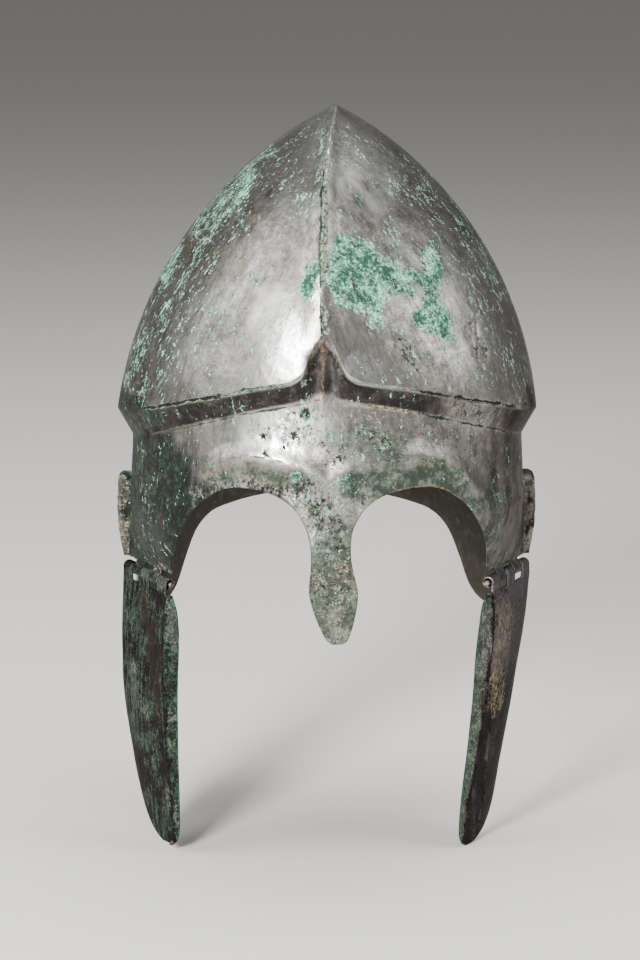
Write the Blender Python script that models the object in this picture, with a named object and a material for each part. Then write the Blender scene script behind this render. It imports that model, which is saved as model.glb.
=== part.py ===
"""Chalcidian helmet of hammered bronze, with two hinged cheekpieces.

Tables and sizes are in millimetres. Heights are measured from the level of the carination at the temples,
and the finished meshes are in metres, lowered so that the inside top of the crown, where it sits on the head,
is the origin. +Z is up, the face looks along -Y, and +X is the wearer's left.
"""

import math
from bisect import bisect_right
from collections import namedtuple

import bmesh
import bpy
from mathutils import Vector

MM = 0.001

# The hammered sheet and the crown.
SHEET = 1.1
CROWN_RISE = 150.0
ROOF_SLOPE = math.radians(27.0)
CREST_LEAN = math.radians(7.0)
KEEL_RISE = 3.0
KEEL_SPREAD = 45.0
INSIDE_TOP = CROWN_RISE - SHEET / math.cos(ROOF_SLOPE)

# Plan outlines: half width, and how far the front and the back reach.
Ring = namedtuple("Ring", "side front back")
CARINATION = Ring(104.4, 115.0, 122.0)
FOLD = Ring(97.0, 110.0, 114.5)
BAND = Ring(98.5, 114.0, 112.5)
NECK_RIM = Ring(100.0, 114.0, 121.0)

# Heights of the carination, of the fold under its ledge and of the neck guard's rim, by angle from the front.
Level = namedtuple("Level", "angle carination fold")
LEVELS = (
    Level(0, 32.0, 21.5),
    Level(20, 25.5, 14.7),
    Level(45, 14.8, 3.0),
    Level(65, 6.5, -6.0),
    Level(90, 0.0, -13.0),
    Level(180, -2.0, -14.0),
)
NeckHem = namedtuple("NeckHem", "angle height")
NECK_HEM = (
    NeckHem(104, -96.0),
    NeckHem(108, -108.0),
    NeckHem(114, -114.0),
    NeckHem(120, -115.5),
    NeckHem(125, -113.5),
    NeckHem(129, -107.5),
    NeckHem(132.5, -95.5),
    NeckHem(137, -82.0),
    NeckHem(143, -73.5),
    NeckHem(151, -70.0),
    NeckHem(163, -67.0),
    NeckHem(180, -65.0),
)

# The gable over the nose: a pocket in the ledge, up to a point on the keel, with a ridge down its middle.
Gable = namedtuple("Gable", "across part")
GABLE = (
    Gable(0.0, 1.0),
    Gable(2.5, 0.87),
    Gable(4.7, 0.74),
    Gable(6.4, 0.56),
    Gable(7.8, 0.42),
    Gable(9.2, 0.26),
    Gable(10.7, 0.15),
    Gable(14.0, 0.05),
    Gable(18.0, 0.0),
)
GABLE_RISE = 20.0
GABLE_DEPTH = 2.5
GABLE_SET_BACK = 3.0

# The eye opening's arch, from the nasal's root to the outer corner.
Arch = namedtuple("Arch", "across height")
EYE_ARCH = (
    Arch(13.3, -35.3),
    Arch(16.4, -30.7),
    Arch(22.2, -26.1),
    Arch(31.0, -22.8),
    Arch(42.0, -21.8),
    Arch(52.0, -23.8),
    Arch(61.5, -30.5),
    Arch(66.8, -36.5),
    Arch(70.0, -42.0),
)

# The nasal, from its root down to its blunt tip.
Nasal = namedtuple("Nasal", "down half forward")
NASAL = (
    Nasal(35.3, 13.3, 114.0),
    Nasal(39.5, 11.2, 114.6),
    Nasal(44.5, 10.0, 115.4),
    Nasal(52.0, 9.4, 116.6),
    Nasal(59.0, 10.0, 117.8),
    Nasal(64.5, 11.0, 118.7),
    Nasal(70.0, 11.5, 119.6),
    Nasal(76.6, 10.4, 120.6),
    Nasal(82.0, 8.8, 121.3),
    Nasal(87.5, 6.8, 122.0),
    Nasal(91.5, 4.6, 122.4),
    Nasal(93.0, 2.4, 122.5),
)
NASAL_BEND = 0.012

# The eye opening's outer side, from the arch's corner down to the hinge.
EyeSide = namedtuple("EyeSide", "down across forward")
EYE_SIDE = (
    EyeSide(42.0, 70.0, 80.2),
    EyeSide(49.0, 73.0, 74.5),
    EyeSide(56.0, 75.0, 66.5),
    EyeSide(63.0, 76.3, 58.0),
    EyeSide(70.0, 77.2, 49.7),
    EyeSide(77.0, 78.0, 42.0),
)

# The embossed brow ridge, as the points that its crest runs through.
BROW = (
    Vector((0.0, -114.0, -17.0)),
    Vector((13.0, -113.0, -10.5)),
    Vector((27.0, -109.0, -7.0)),
    Vector((41.0, -103.0, -6.5)),
    Vector((52.0, -96.0, -10.5)),
    Vector((61.5, -88.5, -18.5)),
    Vector((70.5, -79.5, -30.0)),
    Vector((76.5, -69.0, -46.0)),
    Vector((80.5, -51.0, -62.0)),
    Vector((82.5, -33.0, -77.0)),
)
BROW_HEIGHT = 2.4
BROW_WIDTH = 5.0
BROW_FADE = 22.0

# The ear notch and the flange turned outward along its edge.
NOTCH_FRONT = 3.0
NOTCH_BACK = 27.0
NOTCH_SPRING = -42.5
NOTCH_RISE = 6.5
Flange = namedtuple("Flange", "part width")
EAR_FLANGE = (
    Flange(0.0, 2.4),
    Flange(0.2, 5.8),
    Flange(0.42, 6.5),
    Flange(0.6, 4.5),
    Flange(0.85, 3.0),
    Flange(1.0, 1.2),
)

# The hinge: its axis runs straight between two plan points, under the outer face of the temple.
HINGE_FRONT = Vector((78.0, -42.0, 0.0))
HINGE_BACK = Vector((100.0, 3.0, 0.0))
HINGE_LEVEL = -82.0
SKULL_LOOP = 2.75
CHEEK_LOOP = 3.05
LOOP_TURN = math.radians(280.0)
KNUCKLE_GAP = 0.35
EDGE_TO_AXIS = 5.0
PIN_RADIUS = 1.1
PIN_OVERHANG = 1.6
PIN_HEAD = 0.4

# The cheekpiece, by distance below the hinge's axis: how far its front crease lies behind the hinge's front
# end and outside its loops, the same for its rear edge and the hinge's rear end, how much the sheet bulges
# between the two, and the width of the lip in front of the crease.
Cheek = namedtuple("Cheek", "down crease crease_out past past_out bulge lip")
CHEEK = (
    Cheek(5.0, 0.0, 0.0, 0.0, 0.0, 0.0, 3.4),
    Cheek(12.0, -1.0, 0.9, 1.0, -0.2, 1.0, 6.0),
    Cheek(22.0, -1.8, 1.8, 3.0, -0.6, 2.0, 7.4),
    Cheek(34.0, -2.4, 2.4, 5.0, -1.1, 3.0, 7.6),
    Cheek(46.5, -3.0, 2.6, 5.6, -1.4, 4.0, 7.0),
    Cheek(59.0, -3.6, 2.5, 5.0, -1.3, 4.6, 6.4),
    Cheek(71.5, -4.2, 2.1, 2.4, -1.3, 4.8, 5.8),
    Cheek(84.0, -5.0, 1.5, -2.0, -1.3, 4.6, 5.0),
    Cheek(95.5, -5.6, 0.8, -6.6, -1.4, 4.0, 4.3),
    Cheek(105.5, -6.0, 0.2, -11.2, -1.4, 3.2, 3.8),
    Cheek(114.2, -6.0, -0.4, -16.5, -1.3, 2.5, 3.4),
    Cheek(122.0, -5.6, -0.9, -23.0, -1.0, 1.8, 3.0),
    Cheek(127.8, -4.8, -1.2, -30.5, -0.8, 1.0, 2.5),
    Cheek(131.3, -3.0, -1.3, -38.5, -0.8, 0.4, 1.7),
    Cheek(132.4, -1.0, -1.3, -43.5, -0.9, 0.1, 0.9),
)
LIP_BEND = math.radians(55.0)

# Old damage. The left cheekpiece is bent inward, by distance below its axis, and is a little the longer one.
# The crown leans to one side, and the keel, the gable and the nasal have drifted off the middle.
Bend = namedtuple("Bend", "down front rear")
LEFT_BEND = (
    Bend(5.0, 0.0, 0.0),
    Bend(20.0, 0.5, 1.8),
    Bend(40.0, 3.0, 4.8),
    Bend(60.0, 5.0, 8.1),
    Bend(80.0, 7.0, 10.3),
    Bend(100.0, 9.1, 10.9),
    Bend(118.0, 10.5, 10.4),
    Bend(136.0, 11.5, 9.5),
)
LEFT_LENGTH = 1.025
CROWN_LEAN = 4.0
Drift = namedtuple("Drift", "height aside")
DRIFT = (
    Drift(-92.0, 1.4),
    Drift(-50.0, -1.6),
    Drift(-16.0, -2.8),
    Drift(20.0, -5.2),
    Drift(52.0, -6.2),
    Drift(80.0, -7.5),
    Drift(110.0, -7.5),
    Drift(130.0, -5.0),
    Drift(142.0, -3.0),
    Drift(150.0, 0.0),
)
DRIFT_SPREAD = 40.0
DRIFT_START = 25.0

# The nets of quads: columns in each stretch of half the helmet, and rows down it.
ROOT_COLUMNS = 4
ARCH_COLUMNS = 9
HINGE_COLUMNS = 5
NOTCH_COLUMNS = 4
NECK_PARTS = (0.0, 0.1, 0.2, 0.28, 0.335, 0.385, 0.44, 0.52, 0.63, 0.75, 0.87, 1.0)
NECK_COLUMNS = len(NECK_PARTS) - 1
ARCH_START = ROOT_COLUMNS
TEMPLE_START = ARCH_START + ARCH_COLUMNS
NOTCH_START = TEMPLE_START + HINGE_COLUMNS
NECK_START = NOTCH_START + NOTCH_COLUMNS
COLUMNS = NECK_START + NECK_COLUMNS
CROWN_ROWS = 11
BAND_PARTS = (0.0, 0.2, 0.38, 0.54, 0.68, 0.84, 1.0)
TEMPLE_ROWS = 5
NECK_ROWS = 5
NOTCH_REAR_ROWS = 4
CHEEK_COLUMNS = 10
LIP_COLUMNS = 2
NECK_STEPS = 3
LOOP_STEPS = 10
PIN_SIDES = 12


def read(rows, name, at):
    """The named column of a table where its first column is `at`, on a smooth curve through the rows."""
    keys = [row[0] for row in rows]
    values = [getattr(row, name) for row in rows]
    at = min(max(at, keys[0]), keys[-1])
    i = min(bisect_right(keys, at), len(keys) - 1) - 1

    def slope(j):
        before = max(j - 1, 0)
        after = min(j + 1, len(keys) - 1)
        return (values[after] - values[before]) / (keys[after] - keys[before])

    step = keys[i + 1] - keys[i]
    t = (at - keys[i]) / step
    rise = values[i + 1] - values[i]
    start_pull = slope(i) * step - rise
    end_pull = rise - slope(i + 1) * step
    return values[i] + t * rise + t * (1 - t) * ((1 - t) * start_pull + t * end_pull)


def smooth(t):
    """Rises from 0 to 1 as t does, level at both ends."""
    t = min(max(t, 0.0), 1.0)
    return t * t * (3 - 2 * t)


def on_ring(ring, angle, height):
    """The point of a plan outline at this angle from the front."""
    reach = ring.front if math.cos(angle) > 0 else ring.back
    return Vector((ring.side * math.sin(angle), -reach * math.cos(angle), height))


def gable(across):
    """How much of the gable's rise the carination has, this far from the middle."""
    return read(GABLE, "part", abs(across))


def carination_point(angle):
    """The sharp edge where the crown overhangs the forehead, with the gable over the nose."""
    point = on_ring(CARINATION, angle, read(LEVELS, "carination", math.degrees(angle)))
    rise = gable(point.x) if point.y < 0 else 0.0
    point.z += GABLE_RISE * rise
    point.y += GABLE_SET_BACK * rise
    return point


def fold_point(angle):
    """The inner corner under the carination's ledge."""
    return on_ring(FOLD, angle, read(LEVELS, "fold", math.degrees(angle)))


def crown_point(angle, part):
    """The crown's outer face, from the keel's peak (part 0) down to the carination (part 1)."""
    foot = carination_point(angle)
    reach = math.hypot(foot.x, foot.y)
    drop = foot.z - CROWN_RISE
    roof = math.atan(abs(math.sin(angle)) * math.tan(ROOF_SLOPE))
    turn = math.pi / 2 - roof - CREST_LEAN
    handle = math.hypot(reach, drop) / (3 * math.cos(turn / 4) ** 2)
    start = Vector((0.0, 0.0))
    end = Vector((reach, drop))
    leaving = start + handle * Vector((math.cos(roof), -math.sin(roof)))
    arriving = end + handle * Vector((-math.sin(CREST_LEAN), math.cos(CREST_LEAN)))
    rest = 1 - part
    along = 3 * rest * rest * part * leaving + 3 * rest * part * part * arriving + part**3 * end
    point = Vector((foot.x / reach * along.x, foot.y / reach * along.x, CROWN_RISE + along.y))
    if point.y < 0:
        pinch = max(0.0, 1 - abs(point.x) / KEEL_SPREAD) ** 2
        point.y -= KEEL_RISE * pinch * smooth(-point.y / 80)
    return point


def hem_point(column):
    """The lower edge of the forehead band: nasal root, eye arch, temple, ear notch and neck, front to back."""
    if column <= ARCH_START:
        across = EYE_ARCH[0].across * column / ROOT_COLUMNS
        return on_ring(BAND, math.asin(across / BAND.side), EYE_ARCH[0].height)
    if column <= TEMPLE_START:
        part = (1 - math.cos(math.pi * (column - ARCH_START) / ARCH_COLUMNS)) / 2
        across = EYE_ARCH[0].across + part * (EYE_ARCH[-1].across - EYE_ARCH[0].across)
        return on_ring(BAND, math.asin(across / BAND.side), read(EYE_ARCH, "height", across))
    front = math.acos(-NOTCH_FRONT / BAND.back)
    back = math.acos(-NOTCH_BACK / BAND.back)
    if column <= NOTCH_START:
        part = (column - TEMPLE_START) / HINGE_COLUMNS
        corner = math.asin(EYE_ARCH[-1].across / BAND.side)
        height = EYE_ARCH[-1].height + part * (NOTCH_SPRING - EYE_ARCH[-1].height)
        return on_ring(BAND, corner + part * (front - corner), height)
    if column <= NECK_START:
        part = (column - NOTCH_START) / NOTCH_COLUMNS
        height = NOTCH_SPRING + NOTCH_RISE * math.sin(math.pi * part)
        return on_ring(BAND, front + (1 - math.cos(math.pi * part)) / 2 * (back - front), height)
    part = NECK_PARTS[column - NECK_START]
    return on_ring(BAND, back + part * (math.pi - back), NOTCH_SPRING + 3 * smooth(part))


def hem_angle(column):
    """The angle from the front at which a column of the net runs up the crown."""
    point = hem_point(column)
    reach = BAND.front if point.y < 0 else BAND.back
    return math.atan2(point.x / BAND.side, -point.y / reach)


def hinge_point(part, height):
    """A point over or under the hinge's axis, from its front end (part 0) to its rear end (part 1)."""
    return HINGE_FRONT.lerp(HINGE_BACK, part) + Vector((0, 0, height))


def temple_point(column, row):
    """The temple, stretched between the band's hem, the hinge, the eye opening's side and the ear notch."""
    across = column / HINGE_COLUMNS
    down = row / TEMPLE_ROWS
    edge_level = HINGE_LEVEL + EDGE_TO_AXIS

    def hem(part):
        return hem_point(TEMPLE_START + part * HINGE_COLUMNS)

    def eye_side(part):
        level = EYE_SIDE[0].down + part * (EYE_SIDE[-1].down - EYE_SIDE[0].down)
        return Vector((read(EYE_SIDE, "across", level), -read(EYE_SIDE, "forward", level), -level))

    top = hem(across)
    bottom = hinge_point(across, edge_level)
    ear_side = hem(1).lerp(hinge_point(1, edge_level), down)
    sides = eye_side(down).lerp(ear_side, across)
    corners_top = hem(0).lerp(hem(1), across)
    corners_bottom = hinge_point(0, edge_level).lerp(hinge_point(1, edge_level), across)
    return top.lerp(bottom, down) + sides - corners_top.lerp(corners_bottom, down)


def neck_point(column, row):
    """The neck guard, from the band down to its flared rim."""
    top = hem_point(NECK_START + column)
    angle = hem_angle(NECK_START + column)
    bottom = on_ring(NECK_RIM, angle, read(NECK_HEM, "height", math.degrees(angle)))
    down = row / NECK_ROWS
    flared = top.lerp(bottom, down * down)
    return Vector((flared.x, flared.y, top.z + down * (bottom.z - top.z)))


def nasal_point(column, row):
    """The nasal, a tongue that narrows, widens and ends in a blunt tip."""
    if row == 0:
        return hem_point(column)
    level = NASAL[row]
    across = level.half * column / ROOT_COLUMNS
    return Vector((across, -level.forward + NASAL_BEND * across * across, -level.down))


def ledge_point(column, row):
    """The ledge under the carination, sunk into a pocket at the gable except along the pocket's ridge."""
    angle = hem_angle(column)
    point = carination_point(angle).lerp(fold_point(angle), row / 2)
    if row == 0:
        return crown_point(angle, 1)
    if row == 1 and column > 0:
        point.y += GABLE_DEPTH * gable(point.x)
    return point


def band_point(column, row):
    """The forehead band, from the fold under the ledge down to the hem."""
    return fold_point(hem_angle(column)).lerp(hem_point(column), BAND_PARTS[row])


def flange_point(column, row):
    """The flange along the ear notch, up its front edge, over the top and down its rear edge."""
    top = TEMPLE_ROWS + NOTCH_COLUMNS
    if column <= TEMPLE_ROWS:
        root = temple_point(HINGE_COLUMNS, TEMPLE_ROWS - column)
    elif column <= top:
        root = hem_point(NOTCH_START + column - TEMPLE_ROWS)
    else:
        root = neck_point(0, column - top)
    width = read(EAR_FLANGE, "width", column / (top + NOTCH_REAR_ROWS))
    return root + Vector((row * width, 0, 0))


def hinge_frame():
    """The hinge's directions on the wearer's left: along it to the rear, and straight out from the head."""
    along = (HINGE_BACK - HINGE_FRONT).normalized()
    return along, Vector((along.y, -along.x, 0))


def add_patch(bm, columns, rows, place):
    """Adds a net of quads whose corner at (column, row) lies at place(column, row)."""
    net = bmesh.ops.create_grid(bm, x_segments=columns, y_segments=rows, size=1.0)
    for vert in net["verts"]:
        column = round((vert.co.x + 1) / 2 * columns)
        row = round((1 - vert.co.y) / 2 * rows)
        vert.co = place(column, row)


def add_loop(bm, knuckle, columns, radius, upward):
    """Adds one knuckle of the hinge: a tongue of the sheet, rolled inward round the axis."""
    outward = hinge_frame()[1]
    turned = 1 if upward else -1
    gap = KNUCKLE_GAP / (HINGE_BACK - HINGE_FRONT).length
    root_out = radius if upward else 0.0

    def place(column, row):
        across = column / columns
        part = (knuckle + across) / HINGE_COLUMNS
        if row > 0:
            part += gap * (1 - 2 * across)
        if row < NECK_STEPS:
            down = row / NECK_STEPS
            height = EDGE_TO_AXIS * (1 - down)
            out = root_out + (radius - root_out) * smooth(down)
        else:
            angle = LOOP_TURN * (row - NECK_STEPS) / LOOP_STEPS
            height = -radius * math.sin(angle)
            out = radius * math.cos(angle)
        return hinge_point(part, HINGE_LEVEL - turned * height) + outward * out

    add_patch(bm, columns, NECK_STEPS + LOOP_STEPS, place)


def distance_to(point, a, b):
    """The distance from a point to the segment from a to b."""
    along = b - a
    part = min(max((point - a).dot(along) / along.length_squared, 0.0), 1.0)
    return (point - a - part * along).length


def brow_height(point):
    """How far the brow ridge raises the sheet at this point. It dies out just above the hinge."""
    mirrored = Vector((abs(point.x), point.y, point.z))
    nearest = min(distance_to(mirrored, a, b) for a, b in zip(BROW, BROW[1:]))
    fade = smooth((point.z - HINGE_LEVEL - EDGE_TO_AXIS) / BROW_FADE)
    return BROW_HEIGHT * fade * math.exp(-((nearest / BROW_WIDTH) ** 2))


def settle(point):
    """A point moved by the crown's lean and the drift of the keel, the gable and the nasal."""
    lean = CROWN_LEAN * max(point.z, 0.0) / CROWN_RISE
    near = math.exp(-((point.x / DRIFT_SPREAD) ** 2)) * smooth(-point.y / DRIFT_START)
    return Vector((point.x + lean + near * read(DRIFT, "aside", point.z), point.y, point.z))


def join_nets(bm, outside):
    """Joins the nets at their shared edges, and turns their faces to look outside."""
    bmesh.ops.remove_doubles(bm, verts=bm.verts, dist=0.02)
    bmesh.ops.recalc_face_normals(bm, faces=bm.faces)
    furthest = max(bm.faces, key=lambda face: face.calc_center_median().dot(outside))
    if furthest.normal.dot(outside) < 0:
        bmesh.ops.reverse_faces(bm, faces=bm.faces)
    bm.normal_update()


def new_object(bm, name, material, pivot=Vector((0, 0, 0))):
    """Turns a bmesh in millimetres into an object in metres, with its own origin at the pivot."""
    bmesh.ops.translate(bm, verts=bm.verts, vec=-pivot)
    bmesh.ops.scale(bm, verts=bm.verts, vec=(MM, MM, MM))
    mesh = bpy.data.meshes.new(name)
    bm.to_mesh(mesh)
    bm.free()
    mesh.materials.append(material)
    mesh.shade_smooth()
    mesh.set_sharp_from_angle(angle=math.radians(35))
    obj = bpy.data.objects.new(name, mesh)
    obj.location = (pivot - Vector((0, 0, INSIDE_TOP))) * MM
    bpy.context.scene.collection.objects.link(obj)
    return obj


def thicken(obj):
    """Gives a sheet its thickness, inward from its outer face."""
    wall = obj.modifiers.new("Sheet", "SOLIDIFY")
    wall.thickness = SHEET * MM
    wall.offset = -1.0
    wall.use_even_offset = True


def mirror_over(bm):
    """Turns a piece of the wearer's left into the one of the right."""
    bmesh.ops.scale(bm, verts=bm.verts, vec=(-1, 1, 1))
    bmesh.ops.reverse_faces(bm, faces=bm.faces)


def hinge_pivot(side):
    """The middle of a hinge's axis, on the wearer's left (side 1) or right (side -1)."""
    pivot = hinge_point(0.5, HINGE_LEVEL)
    return Vector((side * pivot.x, pivot.y, pivot.z))


def make_skull(material):
    """The crown, forehead, brow, nasal, temples, ear flanges, neck guard and hinge tongues, in one sheet."""
    bm = bmesh.new()
    add_patch(bm, COLUMNS, CROWN_ROWS, lambda c, r: crown_point(hem_angle(c), r / CROWN_ROWS))
    add_patch(bm, COLUMNS, 2, ledge_point)
    add_patch(bm, COLUMNS, len(BAND_PARTS) - 1, band_point)
    add_patch(bm, ROOT_COLUMNS, len(NASAL) - 1, nasal_point)
    add_patch(bm, HINGE_COLUMNS, TEMPLE_ROWS, temple_point)
    add_patch(bm, NECK_COLUMNS, NECK_ROWS, neck_point)
    add_patch(bm, TEMPLE_ROWS + NOTCH_COLUMNS + NOTCH_REAR_ROWS, 1, flange_point)
    add_loop(bm, 1, 1, SKULL_LOOP, upward=False)
    add_loop(bm, 3, 1, SKULL_LOOP, upward=False)
    bmesh.ops.mirror(bm, geom=bm.verts[:] + bm.edges[:] + bm.faces[:], axis="X", merge_dist=0.02)
    join_nets(bm, Vector((0, 0, 1)))
    raised = [vert.normal * brow_height(vert.co) for vert in bm.verts]
    for vert, raise_by in zip(bm.verts, raised):
        vert.co = settle(vert.co + raise_by)
    thicken(new_object(bm, "skull", material))


def cheek_point(column, row):
    """The cheekpiece: a front lip bent inward from a crease, then a bulging sheet back to its rear edge."""
    along, outward = hinge_frame()
    level = CHEEK[row]
    part = max(column - LIP_COLUMNS, 0) / CHEEK_COLUMNS
    rear = (HINGE_BACK - HINGE_FRONT).length + level.past
    spot = HINGE_FRONT + along * (level.crease + part * (rear - level.crease))
    out = level.crease_out + part * (level.past_out - level.crease_out) + level.bulge * 4 * part * (1 - part)
    spot += outward * (CHEEK_LOOP + out)
    lip = level.lip * (1 - min(column / LIP_COLUMNS, 1))
    spot -= lip * (math.sin(LIP_BEND) * outward + math.cos(LIP_BEND) * along)
    return spot + Vector((0, 0, HINGE_LEVEL - level.down))


def bend_left(point):
    """A point of the left cheekpiece, moved by its old bend."""
    along, outward = hinge_frame()
    down = HINGE_LEVEL - point.z
    if down < CHEEK[0].down:
        return point
    part = (point - HINGE_FRONT).dot(along) / (HINGE_BACK - HINGE_FRONT).length
    front = read(LEFT_BEND, "front", down)
    inward = front + min(max(part, 0.0), 1.0) * (read(LEFT_BEND, "rear", down) - front)
    longer = (down - CHEEK[0].down) * (LEFT_LENGTH - 1)
    return point - inward * outward - Vector((0, 0, longer))


def make_cheekpiece(name, side, material):
    """A cheekpiece with its three rolled knuckles, hung on its own hinge's axis."""
    bm = bmesh.new()
    add_patch(bm, LIP_COLUMNS + CHEEK_COLUMNS, len(CHEEK) - 1, cheek_point)
    for knuckle in (0, 2, 4):
        add_loop(bm, knuckle, CHEEK_COLUMNS // HINGE_COLUMNS, CHEEK_LOOP, upward=True)
    join_nets(bm, hinge_frame()[1])
    if side > 0:
        for vert in bm.verts:
            vert.co = bend_left(vert.co)
    else:
        mirror_over(bm)
    bm.normal_update()
    thicken(new_object(bm, name, material, hinge_pivot(side)))


def make_pin(name, side, material):
    """A hinge pin: a length of wire whose ends are hammered over."""
    along, outward = hinge_frame()
    reach = (HINGE_BACK - HINGE_FRONT).length / 2 + PIN_OVERHANG
    head = PIN_RADIUS + PIN_HEAD
    profile = [(0, 0), (0, head - 0.4), (0.4, head), (1.0, head), (1.1, PIN_RADIUS)]
    ends = [(reach - at, radius) for at, radius in profile]
    rings = [(-at, radius) for at, radius in ends] + ends[::-1]

    def place(column, row):
        at, radius = rings[row]
        angle = 2 * math.pi * column / PIN_SIDES
        across = math.cos(angle) * outward + math.sin(angle) * Vector((0, 0, 1))
        return hinge_pivot(1) + along * at + across * radius

    bm = bmesh.new()
    add_patch(bm, PIN_SIDES, len(rings) - 1, place)
    join_nets(bm, outward)
    if side < 0:
        mirror_over(bm)
    new_object(bm, name, material, hinge_pivot(side))


def metal(name, colour, roughness):
    """A plain bronze finish."""
    material = bpy.data.materials.new(name)
    material.use_nodes = True
    shader = material.node_tree.nodes["Principled BSDF"]
    shader.inputs["Base Color"].default_value = (*colour, 1.0)
    shader.inputs["Metallic"].default_value = 1.0
    shader.inputs["Roughness"].default_value = roughness
    return material


def main():
    for obj in list(bpy.data.objects):
        bpy.data.objects.remove(obj, do_unlink=True)
    polished = metal("polished_bronze", (0.33, 0.30, 0.28), 0.35)
    green_patina = metal("patinated_bronze", (0.20, 0.24, 0.20), 0.5)
    dark_patina = metal("dark_bronze", (0.22, 0.20, 0.19), 0.45)
    wire = metal("copper_wire", (0.42, 0.26, 0.20), 0.5)
    make_skull(polished)
    make_cheekpiece("cheekpiece_left", 1, dark_patina)
    make_cheekpiece("cheekpiece_right", -1, green_patina)
    make_pin("hinge_pin_left", 1, wire)
    make_pin("hinge_pin_right", -1, wire)


main()
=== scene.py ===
"""The looks of a Chalcidian helmet of hammered bronze: sheet, corrosion, hinges, floor, lights and camera.

Sizes and tables are in millimetres unless they say otherwise. Heights are measured from the level of the
carination at the temples, as the sheet was laid out, and a finished mesh is lowered and turned to metres.
"""

import math
from bisect import bisect_right
from collections import namedtuple

import bmesh
import bpy
import numpy as np
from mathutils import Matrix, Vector, noise
from mathutils.kdtree import KDTree


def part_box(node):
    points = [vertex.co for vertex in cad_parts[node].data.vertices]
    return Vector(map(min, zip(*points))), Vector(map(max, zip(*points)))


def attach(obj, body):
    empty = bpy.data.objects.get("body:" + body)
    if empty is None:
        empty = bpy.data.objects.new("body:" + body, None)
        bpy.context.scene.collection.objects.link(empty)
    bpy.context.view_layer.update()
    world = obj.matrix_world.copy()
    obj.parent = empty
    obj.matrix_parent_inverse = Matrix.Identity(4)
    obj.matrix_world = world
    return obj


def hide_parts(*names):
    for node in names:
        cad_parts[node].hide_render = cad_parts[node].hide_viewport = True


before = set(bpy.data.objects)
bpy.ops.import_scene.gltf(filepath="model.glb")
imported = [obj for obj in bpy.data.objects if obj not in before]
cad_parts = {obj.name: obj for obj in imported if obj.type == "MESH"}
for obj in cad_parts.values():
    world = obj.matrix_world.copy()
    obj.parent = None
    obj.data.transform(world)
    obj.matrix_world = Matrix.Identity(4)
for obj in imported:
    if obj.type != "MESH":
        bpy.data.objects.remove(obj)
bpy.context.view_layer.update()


# ------------------------------------------------------------
# The skull: crown, forehead, brow, nasal, temples, ear flanges and neck guard, raised by hammer from one disc
# of bronze about a millimetre thick. The carination overhangs the forehead, with a gable over the nose, and
# the brow ridge is embossed from inside. It came out of the ground corroded and was cleaned down to metal.

MM = 0.001
SHEET = 1.1
CROWN_RISE = 150
ROOF_SLOPE = math.radians(27)
CREST_LEAN = math.radians(7)
KEEL_RISE = 3
KEEL_SPREAD = 45
WELD = 0.02
INSIDE_TOP = CROWN_RISE - SHEET / math.cos(ROOF_SLOPE)


def table(columns, *rows):
    """Rows whose values are read by these column names."""
    row = namedtuple("Row", columns)
    return [row(*values) for values in rows]


Ring = namedtuple("Ring", "side front back")
CARINATION = Ring(104.4, 115, 122)
FOLD = Ring(97, 110, 114.5)
BAND = Ring(98.5, 114, 112.5)
NECK_RIM = Ring(100, 114, 121)

LEVELS = table(
    "angle carination fold",
    (0, 32, 21.5), (20, 25.5, 14.7), (45, 14.8, 3), (65, 6.5, -6), (90, 0, -13), (180, -2, -14),
)
NECK_HEM = table(
    "angle height",
    (104, -96), (108, -108), (114, -114), (120, -115.5), (125, -113.5), (129, -107.5), (132.5, -95.5),
    (137, -82), (143, -73.5), (151, -70), (163, -67), (180, -65),
)

GABLE = table(
    "across part",
    (0, 1), (2.5, 0.87), (4.7, 0.74), (6.4, 0.56), (7.8, 0.42), (9.2, 0.26), (10.7, 0.15), (14, 0.05),
    (18, 0),
)
GABLE_RISE = 20
GABLE_DEPTH = 2.5
GABLE_SET_BACK = 3
GABLE_RIDGE = 3.4

EYE_ARCH = table(
    "across height",
    (13.3, -35.3), (16.4, -30.7), (22.2, -26.1), (31, -22.8), (42, -21.8), (52, -23.8), (61.5, -30.5),
    (66.8, -36.5), (70, -42),
)

NASAL = table(
    "down half forward",
    (35.3, 13.3, 114), (39.5, 11.2, 114.6), (44.5, 10, 115.4), (52, 9.4, 116.6), (59, 10, 117.8),
    (64.5, 11, 118.7), (70, 11.5, 119.6), (76.6, 10.4, 120.6), (82, 8.8, 121.3), (87.5, 6.8, 122),
    (91.5, 4.6, 122.4), (93, 2.4, 122.5),
)
NASAL_BEND = 0.012

EYE_SIDE = table(
    "down across forward",
    (42, 70, 80.2), (49, 73, 74.5), (56, 75, 66.5), (63, 76.3, 58), (70, 77.2, 49.7), (77, 78, 42),
)

BROW = [Vector(spot) for spot in (
    (0, -114, -17), (13, -113, -10.5), (27, -109, -7), (41, -103, -6.5),
    (52, -96, -10.5), (61.5, -88.5, -18.5), (70.5, -79.5, -30), (76.5, -69, -46),
    (80.5, -51, -62), (82.5, -33, -77),
)]
BROW_HEIGHT = 2.4
BROW_WIDTH = 5
BROW_FADE = 22

NOTCH_FRONT = 3
NOTCH_BACK = 27
NOTCH_SPRING = -42.5
NOTCH_RISE = 6.5
EAR_FLANGE = table(
    "part width",
    (0, 2.4), (0.2, 5.8), (0.42, 6.5), (0.6, 4.5), (0.85, 3), (1, 1.2),
)

HINGE_FRONT = Vector((78, -42, 0))
HINGE_BACK = Vector((100, 3, 0))
HINGE_LEVEL = -82
SKULL_LOOP = 2.75
LOOP_TURN = math.radians(280)
KNUCKLES = 5
KNUCKLE_GAP = 0.35
EDGE_TO_AXIS = 5

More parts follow.
